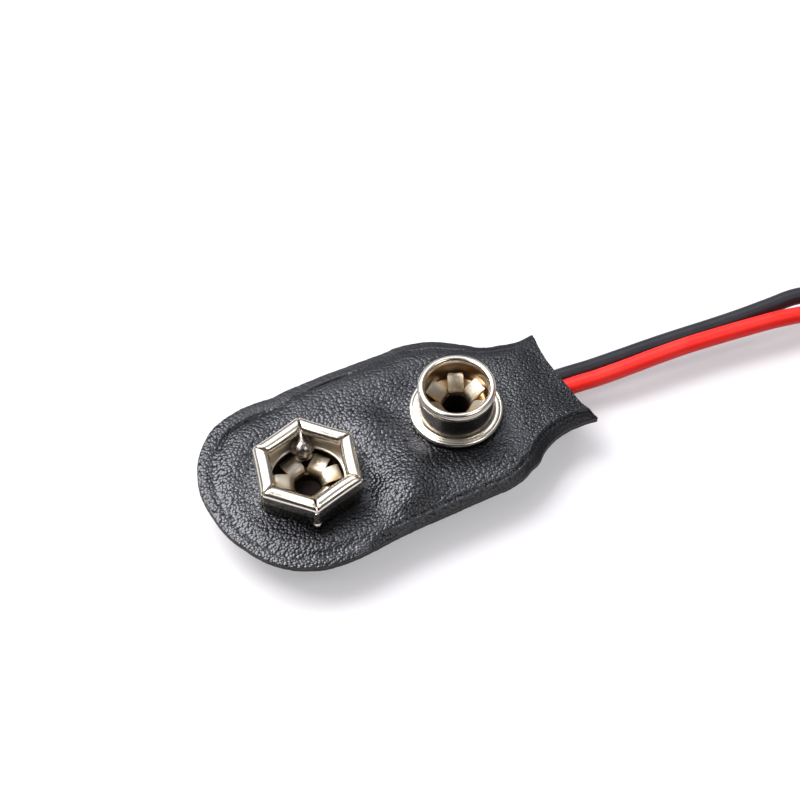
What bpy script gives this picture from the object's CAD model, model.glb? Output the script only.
"""Snap connector for a 9 V battery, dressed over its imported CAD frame."""
import math
from types import SimpleNamespace

import bpy
import numpy as np
from bpy.props import FloatProperty, FloatVectorProperty, IntProperty, PointerProperty
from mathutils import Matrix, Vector, noise


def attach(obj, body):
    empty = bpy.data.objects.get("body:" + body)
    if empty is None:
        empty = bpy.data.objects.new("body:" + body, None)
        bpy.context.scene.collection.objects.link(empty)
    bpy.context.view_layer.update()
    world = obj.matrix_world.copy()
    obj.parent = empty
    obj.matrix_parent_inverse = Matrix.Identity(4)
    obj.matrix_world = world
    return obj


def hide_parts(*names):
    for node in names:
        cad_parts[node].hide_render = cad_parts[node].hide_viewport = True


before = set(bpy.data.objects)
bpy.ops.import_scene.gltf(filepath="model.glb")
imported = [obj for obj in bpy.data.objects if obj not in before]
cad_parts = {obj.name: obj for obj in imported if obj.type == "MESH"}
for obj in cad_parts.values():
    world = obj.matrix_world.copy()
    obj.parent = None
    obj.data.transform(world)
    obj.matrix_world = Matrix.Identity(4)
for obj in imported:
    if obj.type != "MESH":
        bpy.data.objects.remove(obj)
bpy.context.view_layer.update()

bl_info = {
    "name": "Battery snap",
    "version": (1, 0, 0),
    "blender": (4, 5, 0),
    "location": "View3D > Sidebar > Battery snap",
    "description": "Models a 9 V battery snap with its leads over the packed frame",
    "category": "Object",
}

MM = 0.001
BODY = "root"


# Sizes and colours

def length_of(name, description, millimetres):
    return FloatProperty(name=name, description=description, default=millimetres * MM, unit="LENGTH", precision=5)


def angle_of(name, description, degrees):
    return FloatProperty(name=name, description=description, default=math.radians(degrees), subtype="ANGLE")


def place_of(name, description, millimetres):
    return FloatVectorProperty(name=name, description=description, size=2, unit="LENGTH", precision=5,
                               default=[v * MM for v in millimetres])


def colour_of(name, description, value):
    return FloatVectorProperty(name=name, description=description, subtype="COLOR", default=value)


class SnapPad(bpy.types.PropertyGroup):
    """Sizes of the leatherette pad"""
    length: length_of("Length", "Round end to ear tips", 29.4)
    width: length_of("Width", "Across the round end", 15.8)
    end_length: length_of("End length", "Round end from its widest point", 7.7)
    shoulder: length_of("Shoulder width", "Where the sides turn in", 15.0)
    neck: length_of("Neck width", "Narrowest width", 8.7)
    neck_radius: length_of("Neck radius", "Arcs that draw the sides in", 5.3)
    ear_length: length_of("Ear length", "Ears past the narrowest point", 1.3)
    mouth_hollow: length_of("Mouth hollow", "Hollow between the ears", 0.7)
    top: length_of("Top", "Height of the pad's top", 3.75)
    sheet: length_of("Sheet", "Thickness of each sheet", 0.7)
    weld_sheet: length_of("Welded sheet", "Thickness of a sheet in the weld", 0.25)
    sway: length_of("Sway", "How far the cut swings to the far side", 0.3)
    ragged: length_of("Ragged", "Unevenness of the cut edge", 0.03)
    stations: IntProperty(name="Stations", description="Points along half of the outline", default=250)


class SnapContacts(bpy.types.PropertyGroup):
    """Sizes of the two contacts and their eyelets"""
    spacing: length_of("Spacing", "Between the two axes", 12.7)
    middle: place_of("Middle", "Middle of the pair", (-0.65, -0.1))
    turn: angle_of("Turn", "Of the pair", 4.0)
    metal: length_of("Metal", "Thickness of the contact metal", 0.3)
    flats: length_of("Flats", "Width of the socket across its flats", 7.6)
    socket_height: length_of("Socket height", "Above the pad", 2.3)
    lip: length_of("Lip", "Diameter of the rolled lips", 0.96)
    recess: length_of("Recess", "Diameter of the recess", 5.4)
    slit: length_of("Slit", "Width of the corner slits", 0.14)
    socket_turn: angle_of("Socket turn", "Of its first corner", 10.8)
    rim: length_of("Rim", "Diameter of the stud's rim", 5.88)
    neck: length_of("Neck", "Diameter of the stud's neck", 5.44)
    bore: length_of("Bore", "Diameter of the stud's hollow", 4.76)
    flange: length_of("Flange", "Diameter of the stud's flange", 7.14)
    stud_height: length_of("Stud height", "Above the pad", 3.2)
    stud_floor: length_of("Stud floor", "Height of the floor in the stud", 1.0)
    eyelet_bore: length_of("Eyelet bore", "Diameter of its hole", 2.0)


class SnapLeads(bpy.types.PropertyGroup):
    """Sizes of the leads"""
    diameter: length_of("Diameter", "Over the insulation", 1.3)
    strand: length_of("Strands", "Diameter of the tinned strands", 0.7)
    tip: length_of("Tip", "Length of the tinned ends", 3.5)
    coil: place_of("Coil", "Middle of the coil", (41.0, -13.3))
    outer: length_of("Outer turn", "Radius of the outermost turn", 9.2)
    tie: length_of("Tie", "Thickness of the tie", 0.3)
    tie_width: length_of("Tie width", "Width of the tie", 2.5)
    tie_turn: angle_of("Tie turn", "Where the tie sits", 60.0)


class SnapFinish(bpy.types.PropertyGroup):
    """Colours of the finishes"""
    leather: colour_of("Leatherette", "Black leatherette", (0.005, 0.0053, 0.0075))
    nickel: colour_of("Nickel", "Nickel plate", (0.79, 0.735, 0.66))
    brass: colour_of("Brass", "Bare brass", (0.72, 0.47, 0.18))
    red: colour_of("Red", "Red insulation", (0.97, 0.014, 0.010))
    black: colour_of("Black", "Black insulation", (0.010, 0.0115, 0.018))


# Small helpers

def sizes(group):
    """A group's lengths in millimetres and its angles in degrees, by name."""
    found = SimpleNamespace()
    for key in group.__annotations__:
        value, unit = getattr(group, key), group.bl_rna.properties[key].unit
        if unit == "ROTATION":
            value = round(math.degrees(value), 4)
        elif unit == "LENGTH" and hasattr(value, "__len__"):
            value = [round(v / MM, 4) for v in value]
        elif unit == "LENGTH":
            value = round(value / MM, 4)
        setattr(found, key, value)
    return found


def settings():
    """The chosen sizes, in millimetres and degrees, and colours."""
    chosen = bpy.context.scene.battery_snap
    return SimpleNamespace(pad=sizes(chosen.pad), contacts=sizes(chosen.contacts), leads=sizes(chosen.leads),
                           finish=chosen.finish)


def ease(t):
    t = np.clip(t, 0.0, 1.0)
    return t * t * (3 - 2 * t)


def deselect():
    if bpy.context.object and bpy.context.object.mode != "OBJECT":
        bpy.ops.object.mode_set(mode="OBJECT")
    bpy.ops.object.select_all(action="DESELECT")


def name_piece(name):
    """Names the active object and its data."""
    piece = bpy.context.object
    piece.name = name
    piece.data.name = name
    return piece


def settle(piece, merge=1e-7):
    """Merges doubles and turns the faces outwards, in edit mode."""
    deselect()
    bpy.context.view_layer.objects.active = piece
    piece.select_set(True)
    bpy.ops.object.mode_set(mode="EDIT")
    bpy.ops.mesh.select_all(action="SELECT")
    bpy.ops.mesh.remove_doubles(threshold=merge)
    bpy.ops.mesh.normals_make_consistent(inside=False)
    bpy.ops.object.mode_set(mode="OBJECT")


def mapped_grid(name, columns, rows, put, flags=None, value=None):
    """Adds a grid and moves its points to put(u, v), two arrays from 0 to 1, in millimetres.
    flags give one material for each row. value names a number for each point and gives it as a function of u and v."""
    deselect()
    bpy.ops.mesh.primitive_grid_add(x_subdivisions=columns, y_subdivisions=rows, size=2)
    piece = name_piece(name)
    flat = np.empty(len(piece.data.vertices) * 3)
    piece.data.vertices.foreach_get("co", flat)
    flat = flat.reshape(-1, 3)
    u, v = np.round((flat[:, 0] + 1) / 2, 6), np.round((flat[:, 1] + 1) / 2, 6)
    piece.data.vertices.foreach_set("co", (put(u, v) * MM).ravel())
    corners = np.empty(len(piece.data.loops), int)
    piece.data.loops.foreach_get("vertex_index", corners)
    across = v[corners.reshape(-1, 4)].mean(axis=1)
    if flags:
        piece.data.polygons.foreach_set("material_index", np.array(flags)[(across * rows).astype(int)])
    if value:
        made = piece.data.attributes.new(value[0], "FLOAT", "POINT")
        made.data.foreach_set("value", value[1](u, v))
    piece.data.update()
    return piece


def paint(piece, *materials):
    for material in materials:
        piece.data.materials.append(material)


def smooth(piece, degrees=40):
    deselect()
    bpy.context.view_layer.objects.active = piece
    piece.select_set(True)
    bpy.ops.object.shade_smooth_by_angle(angle=math.radians(degrees))


def join(name, pieces):
    """Joins pieces into the first of them."""
    deselect()
    for piece in pieces:
        piece.select_set(True)
    bpy.context.view_layer.objects.active = pieces[0]
    bpy.ops.object.join()
    return name_piece(name)


def cap_ends(piece, material=0):
    """Fills the open loops of a swept shape."""
    deselect()
    bpy.context.view_layer.objects.active = piece
    piece.select_set(True)
    bpy.ops.object.mode_set(mode="EDIT")
    bpy.ops.mesh.select_all(action="SELECT")
    bpy.ops.mesh.remove_doubles(threshold=1e-7)
    bpy.ops.mesh.select_all(action="DESELECT")
    bpy.ops.mesh.select_mode(type="EDGE")
    bpy.ops.mesh.select_non_manifold(extend=False, use_wire=False, use_multi_face=False,
                                     use_non_contiguous=False, use_verts=False)
    walls = len(piece.data.polygons)
    bpy.ops.mesh.fill()
    bpy.ops.mesh.select_all(action="SELECT")
    bpy.ops.mesh.normals_make_consistent(inside=False)
    bpy.ops.object.mode_set(mode="OBJECT")
    for face in piece.data.polygons[walls:]:
        face.material_index = material


def contact_place(side):
    """The contact's axis point on the pad's top, in millimetres."""
    c = settings().contacts
    a = math.radians(c.turn)
    return Vector((c.middle[0] + side * c.spacing / 2 * math.cos(a),
                   c.middle[1] + side * c.spacing / 2 * math.sin(a), settings().pad.top))


def contact_frame(side, turn=0.0):
    """A function that takes points about a contact's axis to the pad's frame."""
    origin, a = contact_place(side), math.radians(settings().contacts.turn + turn)

    def to_pad(x, y, z):
        return np.stack([origin.x + math.cos(a) * x - math.sin(a) * y,
                         origin.y + math.sin(a) * x + math.cos(a) * y, origin.z + z], axis=1)
    return to_pad


def polyline(points, v):
    """Points at shares v of a closed or open list's length, linear between its entries."""
    points = np.asarray(points, float)
    run = np.concatenate([[0], np.cumsum(np.linalg.norm(np.diff(points, axis=0), axis=1))])
    return np.stack([np.interp(v * run[-1], run, points[:, k]) for k in range(points.shape[1])], axis=1)


def arc(cx, cy, r, start, end, steps):
    a = np.radians(np.linspace(start, end, steps + 1))
    return [(cx + r * math.cos(t), cy + r * math.sin(t)) for t in a]


# Materials

def node(tree, kind, **inputs):
    made = tree.nodes.new(kind)
    for key, value in inputs.items():
        made.inputs[key.replace("_", " ")].default_value = value
    return made


def ramp(tree, stops):
    made = tree.nodes.new("ShaderNodeValToRGB")
    band = made.color_ramp
    while len(band.elements) < len(stops):
        band.elements.new(0.5)
    for element, (position, value) in zip(band.elements, stops):
        element.position = position
        element.color = (*value, 1) if hasattr(value, "__len__") else (value, value, value, 1)
    return made


def math_node(tree, operation, a, b=None, c=None, clamp=False):
    made = tree.nodes.new("ShaderNodeMath")
    made.operation = operation
    made.use_clamp = clamp
    for slot, value in zip(made.inputs, (a, b, c)):
        if value is None:
            continue
        if hasattr(value, "is_output"):
            tree.links.new(value, slot)
        else:
            slot.default_value = value
    return made.outputs[0]


def blend_colour(tree, factor, a, b):
    made = tree.nodes.new("ShaderNodeMix")
    made.data_type = "RGBA"
    for slot, value in ((made.inputs[0], factor), (made.inputs[6], a), (made.inputs[7], b)):
        if hasattr(value, "is_output"):
            tree.links.new(value, slot)
        else:
            slot.default_value = (*value, 1) if hasattr(value, "__len__") else value
    return made.outputs[2]


def group_tree(name, inputs, outputs):
    """A new shader node group with named float inputs and outputs."""
    tree = bpy.data.node_groups.new(name, "ShaderNodeTree")
    for label, value in inputs:
        kind = "NodeSocketVector" if value is None else "NodeSocketFloat"
        made = tree.interface.new_socket(label, in_out="INPUT", socket_type=kind)
        if value is not None:
            made.default_value = value
    for label in outputs:
        tree.interface.new_socket(label, in_out="OUTPUT", socket_type="NodeSocketFloat")
    return tree, tree.nodes.new("NodeGroupInput"), tree.nodes.new("NodeGroupOutput")


def pebble_grain():
    """Leather grain: warped cells with creases between them, and a finer grain on top."""
    if "Pebble grain" in bpy.data.node_groups:
        return bpy.data.node_groups["Pebble grain"]
    tree, inside, outside = group_tree(
        "Pebble grain", [("Vector", None), ("Scale", 4200.0), ("Warp", 0.00007)], ["Height", "Cells"])
    link = tree.links.new
    drift = node(tree, "ShaderNodeTexNoise", Scale=2600.0, Detail=2.0)
    link(inside.outputs["Vector"], drift.inputs["Vector"])
    centred = node(tree, "ShaderNodeVectorMath")
    centred.operation = "SUBTRACT"
    centred.inputs[1].default_value = (0.5, 0.5, 0.5)
    link(drift.outputs["Color"], centred.inputs[0])
    scaled = node(tree, "ShaderNodeVectorMath")
    scaled.operation = "SCALE"
    link(centred.outputs[0], scaled.inputs[0])
    link(inside.outputs["Warp"], scaled.inputs["Scale"])
    moved = node(tree, "ShaderNodeVectorMath")
    link(inside.outputs["Vector"], moved.inputs[0])
    link(scaled.outputs[0], moved.inputs[1])
    cells = tree.nodes.new("ShaderNodeTexVoronoi")
    cells.feature = "F1"
    cells.inputs["Randomness"].default_value = 1.0
    link(moved.outputs[0], cells.inputs["Vector"])
    link(inside.outputs["Scale"], cells.inputs["Scale"])
    square = math_node(tree, "MULTIPLY", cells.outputs["Distance"], cells.outputs["Distance"])
    dome = math_node(tree, "MULTIPLY_ADD", square, -2.1, 1.0)
    fine = node(tree, "ShaderNodeTexNoise", Detail=3.0, Roughness=0.6)
    link(moved.outputs[0], fine.inputs["Vector"])
    link(math_node(tree, "MULTIPLY", inside.outputs["Scale"], 1.9), fine.inputs["Scale"])
    height = math_node(tree, "MULTIPLY_ADD", fine.outputs["Fac"], 0.18, dome)
    link(height, outside.inputs["Height"])
    link(dome, outside.inputs["Cells"])
    return tree


def handling():
    """Broad smudges and fine scuffs, each from 0 to 1."""
    if "Handling" in bpy.data.node_groups:
        return bpy.data.node_groups["Handling"]
    tree, inside, outside = group_tree("Handling", [("Vector", None), ("Scale", 300.0)], ["Smudge", "Scuff"])
    link = tree.links.new
    broad = node(tree, "ShaderNodeTexNoise", Detail=4.0, Roughness=0.55)
    link(inside.outputs["Vector"], broad.inputs["Vector"])
    link(inside.outputs["Scale"], broad.inputs["Scale"])
    shaped = ramp(tree, [(0.36, 0.0), (0.66, 1.0)])
    link(broad.outputs["Fac"], shaped.inputs["Fac"])
    link(shaped.outputs["Color"], outside.inputs["Smudge"])
    fine = node(tree, "ShaderNodeTexNoise", Detail=6.0, Roughness=0.7)
    link(inside.outputs["Vector"], fine.inputs["Vector"])
    link(math_node(tree, "MULTIPLY", inside.outputs["Scale"], 7.0), fine.inputs["Scale"])
    sharp = ramp(tree, [(0.55, 0.0), (0.75, 1.0)])
    link(fine.outputs["Fac"], sharp.inputs["Fac"])
    link(sharp.outputs["Color"], outside.inputs["Scuff"])
    return tree


def place_group(tree, group, vector, **values):
    made = tree.nodes.new("ShaderNodeGroup")
    made.node_tree = group
    tree.links.new(vector, made.inputs["Vector"])
    for key, value in values.items():
        made.inputs[key].default_value = value
    return made


def new_material(name):
    """A material with its shader, tree and Object coordinates."""
    made = bpy.data.materials.new(name)
    made.use_nodes = True
    tree = made.node_tree
    shader = tree.nodes["Principled BSDF"]
    coordinates = tree.nodes.new("ShaderNodeTexCoord")
    return made, tree, shader, coordinates.outputs["Object"]


def add_bump(tree, shader, height, distance, strength=1.0):
    made = node(tree, "ShaderNodeBump", Strength=strength, Distance=distance)
    tree.links.new(height, made.inputs["Height"])
    tree.links.new(made.outputs["Normal"], shader.inputs["Normal"])


def spot(tree, vector, centre, radii, turn):
    """A soft spot on the pad: 1 in the middle of an ellipse, 0 outside it. Sizes in millimetres."""
    mapping = tree.nodes.new("ShaderNodeMapping")
    mapping.vector_type = "TEXTURE"
    mapping.inputs["Location"].default_value = [v * MM for v in centre]
    mapping.inputs["Rotation"].default_value = (0, 0, math.radians(turn))
    mapping.inputs["Scale"].default_value = [v * MM for v in radii]
    tree.links.new(vector, mapping.inputs["Vector"])
    ball = tree.nodes.new("ShaderNodeTexGradient")
    ball.gradient_type = "SPHERICAL"
    tree.links.new(mapping.outputs[0], ball.inputs["Vector"])
    return ball.outputs["Fac"]


# Spots on the leatherette: middle, radii and turn. A smear and a crimp shine, and what the contacts cover stays matt
SMEAR, CRIMP = ((1.75, -1.45, 3.75), (0.75, 1.2, 1.0), 25), ((-5.9, -7.5, 3.5), (0.9, 0.7, 1.0), 20)
BY_SOCKET, BY_STUD = ((-7.5, -4.1, 3.8), (5.4, 2.9, 2.5), -14), ((4.6, -3.6, 3.8), (4.2, 2.0, 2.5), -20)


def leatherette():
    """Black leatherette: pebbled, finer on the neck, smooth where it was pressed."""
    made, tree, shader, where = new_material("Leatherette")
    link = tree.links.new
    grain = place_group(tree, pebble_grain(), where)
    fine = place_group(tree, pebble_grain(), where, Scale=5000.0)
    wear = place_group(tree, handling(), where, Scale=260.0)
    split = tree.nodes.new("ShaderNodeSeparateXYZ")
    link(where, split.inputs[0])
    neck = tree.nodes.new("ShaderNodeMapRange")
    neck.interpolation_type = "SMOOTHSTEP"
    neck.inputs["From Min"].default_value = 0.006
    neck.inputs["From Max"].default_value = 0.011
    link(split.outputs["X"], neck.inputs["Value"])
    height = tree.nodes.new("ShaderNodeMix")
    link(neck.outputs[0], height.inputs[0])
    link(grain.outputs["Height"], height.inputs[2])
    link(fine.outputs["Height"], height.inputs[3])
    pressed = tree.nodes.new("ShaderNodeAttribute")
    pressed.attribute_name = "Pressed"
    flattened = math_node(tree, "MULTIPLY_ADD", pressed.outputs["Fac"], -0.6, 1.0)
    flattened = math_node(tree, "MULTIPLY", flattened, math_node(tree, "MULTIPLY_ADD", neck.outputs[0], -0.1, 1.0))
    gloss = math_node(tree, "MAXIMUM", spot(tree, where, *SMEAR), spot(tree, where, *CRIMP))
    gloss = math_node(tree, "MULTIPLY", gloss, 1.6, clamp=True)
    matt = math_node(tree, "MAXIMUM", spot(tree, where, *BY_SOCKET), spot(tree, where, *BY_STUD))
    matt = math_node(tree, "MULTIPLY", matt, 1.7, clamp=True)
    leather = settings().finish.leather
    base = blend_colour(tree, grain.outputs["Cells"], [v * 0.3 for v in leather], leather)
    base = blend_colour(tree, matt, base, [v * 0.3 for v in leather])
    base = blend_colour(tree, math_node(tree, "MULTIPLY", wear.outputs["Smudge"], 0.3), base,
                        [v * 1.5 for v in leather])
    base = blend_colour(tree, math_node(tree, "MULTIPLY", gloss, 0.3), base, (0.12, 0.12, 0.13))
    link(base, shader.inputs["Base Color"])
    rough = math_node(tree, "MULTIPLY_ADD", wear.outputs["Smudge"], 0.08, 0.25)
    rough = math_node(tree, "MULTIPLY_ADD", pressed.outputs["Fac"], 0.2, rough)
    rough = math_node(tree, "MULTIPLY_ADD", gloss, -0.12, rough)
    link(rough, shader.inputs["Roughness"])
    shine = math_node(tree, "MULTIPLY_ADD", neck.outputs[0], -0.16, 0.6)
    link(math_node(tree, "MULTIPLY_ADD", matt, -0.38, shine), shader.inputs["Specular IOR Level"])
    shader.inputs["Specular Tint"].default_value = (0.90, 0.92, 1.0, 1)
    add_bump(tree, shader, math_node(tree, "MULTIPLY", height.outputs[0], flattened), 0.000028, 1.0)
    return made


def worn(name, scale, fresh, rubbed, share=1.0, mask="Smudge", rough=("Scuff", 0.2, 0.6), bump=("Smudge", 0.00002, 0.5),
         metal=True):
    """A finish that goes from one colour to another by smudges or scuffs, with its own roughness and bump."""
    made, tree, shader, where = new_material(name)
    link = tree.links.new
    wear = place_group(tree, handling(), where, Scale=scale).outputs
    base = blend_colour(tree, math_node(tree, "MULTIPLY", wear[mask], share), fresh, rubbed)
    link(base, shader.inputs["Base Color"])
    shader.inputs["Metallic"].default_value = 1.0 if metal else 0.0
    link(math_node(tree, "MULTIPLY_ADD", wear[rough[0]], rough[1], rough[2]), shader.inputs["Roughness"])
    if bump:
        add_bump(tree, shader, wear[bump[0]], *bump[1:])
    return made, tree, shader, where


def cut_edge():
    """The cut edge of the sheets."""
    return worn("Cut leatherette edge", 900.0, (0.016, 0.015, 0.015), (0.05, 0.042, 0.037),
                bump=("Scuff", 0.00004, 0.7), metal=False)[0]


def nickel(name, roughness, smudged=(0.70, 0.63, 0.53), lift=1.0):
    """Nickel plate, golden where the stud's flange is rubbed."""
    made, tree, shader, where = new_material(name)
    link = tree.links.new
    wear = place_group(tree, handling(), where, Scale=420.0)
    stud = contact_place(1)
    rubbed = spot(tree, where, (stud.x - 0.6, stud.y - 3.2, 4.1), (2.6, 1.2, 0.9), 10)
    rubbed = math_node(tree, "MULTIPLY", rubbed, wear.outputs["Scuff"], clamp=True)
    base = blend_colour(tree, math_node(tree, "MULTIPLY", wear.outputs["Smudge"], 0.25),
                        [v * lift for v in settings().finish.nickel], smudged)
    base = blend_colour(tree, rubbed, base, (0.42, 0.22, 0.08))
    link(base, shader.inputs["Base Color"])
    shader.inputs["Metallic"].default_value = 1.0
    link(math_node(tree, "MULTIPLY_ADD", wear.outputs["Smudge"], 0.07, roughness), shader.inputs["Roughness"])
    ripple = node(tree, "ShaderNodeTexNoise", Scale=1100.0, Detail=3.0)
    link(where, ripple.inputs["Vector"])
    add_bump(tree, shader, ripple.outputs["Fac"], 0.000008, 0.5)
    return made


def brass():
    """Thinly plated brass: pale on the faces and golden where the plate is thin."""
    made, tree, shader, where = new_material("Plated brass")
    link = tree.links.new
    wear = place_group(tree, handling(), where, Scale=900.0)
    base = blend_colour(tree, math_node(tree, "MULTIPLY", wear.outputs["Scuff"], 0.65), (0.42, 0.395, 0.35),
                        settings().finish.brass)
    base = blend_colour(tree, math_node(tree, "MULTIPLY", wear.outputs["Smudge"], 0.5), base, (0.50, 0.34, 0.15))
    link(base, shader.inputs["Base Color"])
    shader.inputs["Metallic"].default_value = 1.0
    link(math_node(tree, "MULTIPLY_ADD", wear.outputs["Scuff"], 0.16, 0.37), shader.inputs["Roughness"])
    add_bump(tree, shader, wear.outputs["Scuff"], 0.00003, 0.6)
    return made


def brass_edge():
    """Bare brass on the cut edges of the petals."""
    return worn("Bare brass edge", 1500.0, settings().finish.brass, (0.34, 0.15, 0.03), mask="Scuff",
                rough=("Smudge", 0.2, 0.25), bump=("Smudge", 0.00002, 0.6))[0]


def solder():
    """The bead of solder in the socket."""
    return worn("Solder", 1500.0, (0.42, 0.40, 0.385), (0.24, 0.21, 0.195), rough=("Scuff", 0.15, 0.25))[0]


def tarnish():
    """Dark flux and tarnish in the recess and the eyelets' holes."""
    made, _, shader, _ = worn("Tarnish", 900.0, (0.002, 0.001, 0.0008), (0.010, 0.005, 0.003),
                              rough=("Scuff", 0.2, 0.58), bump=("Smudge", 0.00003, 0.6), metal=False)
    shader.inputs["Specular IOR Level"].default_value = 0.08
    return made


def bronzed():
    """Thin plate over brass inside the stud."""
    return worn("Bronzed inside", 700.0, (0.60, 0.48, 0.35), (0.38, 0.27, 0.17), share=0.6,
                rough=("Scuff", 0.1, 0.3), bump=("Smudge", 0.000006, 0.5))[0]


def insulation(name, fresh, rubbed):
    """Smooth insulation with a slight ripple."""
    made, tree, shader, where = worn(name, 350.0, fresh, rubbed, share=0.35, rough=("Scuff", 0.12, 0.46), bump=None,
                                     metal=False)
    shader.inputs["Specular IOR Level"].default_value = 0.35
    ripple = node(tree, "ShaderNodeTexNoise", Scale=1800.0, Detail=2.0)
    tree.links.new(where, ripple.inputs["Vector"])
    add_bump(tree, shader, ripple.outputs["Fac"], 0.000015, 0.35)
    return made


def tinned():
    """Tinned strands."""
    return worn("Tinned copper", 1200.0, (0.66, 0.66, 0.67), (0.50, 0.46, 0.42), rough=("Scuff", 0.2, 0.26),
                bump=("Scuff", 0.00001, 0.5))[0]


def fibrous(name, scale, detail, roughness, dark, pale):
    """Pressed fibres, between two colours."""
    made, tree, shader, where = new_material(name)
    link = tree.links.new
    strands = node(tree, "ShaderNodeTexNoise", Scale=scale, Detail=detail, Roughness=roughness)
    link(where, strands.inputs["Vector"])
    shades = ramp(tree, [(0.3, dark), (0.7, pale)])
    link(strands.outputs["Fac"], shades.inputs["Fac"])
    link(shades.outputs["Color"], shader.inputs["Base Color"])
    link(math_node(tree, "MULTIPLY_ADD", strands.outputs["Fac"], 0.2, 0.6), shader.inputs["Roughness"])
    add_bump(tree, shader, strands.outputs["Fac"], 0.00003, 0.5)
    return made


def fibre():
    return fibrous("Fibre board", 1500.0, 6.0, 0.7, (0.16, 0.075, 0.04), (0.34, 0.19, 0.11))


def paper():
    return fibrous("Tie paper", 2200.0, 5.0, 0.65, (0.62, 0.60, 0.54), (0.82, 0.80, 0.74))


def finish_of(name, make, *values):
    """The material of that name, made once."""
    return bpy.data.materials.get(name) or make(*values)


def dress(piece, slot, *materials):
    paint(piece, *materials)
    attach(piece, BODY)


# Stage

# The photograph's camera: its angles in degrees, its distance and aim in millimetres, its lens and frame shift
CAMERA_AZIMUTH, CAMERA_ELEVATION, CAMERA_DISTANCE = -25.676, 54.601, 220.0
CAMERA_AIM, CAMERA_LENS, CAMERA_SHIFT = (-0.65, -0.1, 3.75), 132.81, (0.0218, 0.0559)
# Soft lamps: name, place, size in millimetres, power and colour
LAMPS = (("Key", (-96, 141, 246), (190, 190), 1.45, (1.0, 0.985, 0.965)),
         ("Back", (75, 157, 245), (270, 180), 0.29, (0.94, 0.965, 1.0)),
         ("Left", (-172, -13, 246), (110, 110), 0.14, (1.0, 0.97, 0.92)),
         ("Right", (97, -142, 246), (110, 110), 0.15, (1.0, 0.97, 0.92)))
LAMP_AIM = (0, 0, 3)


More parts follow.
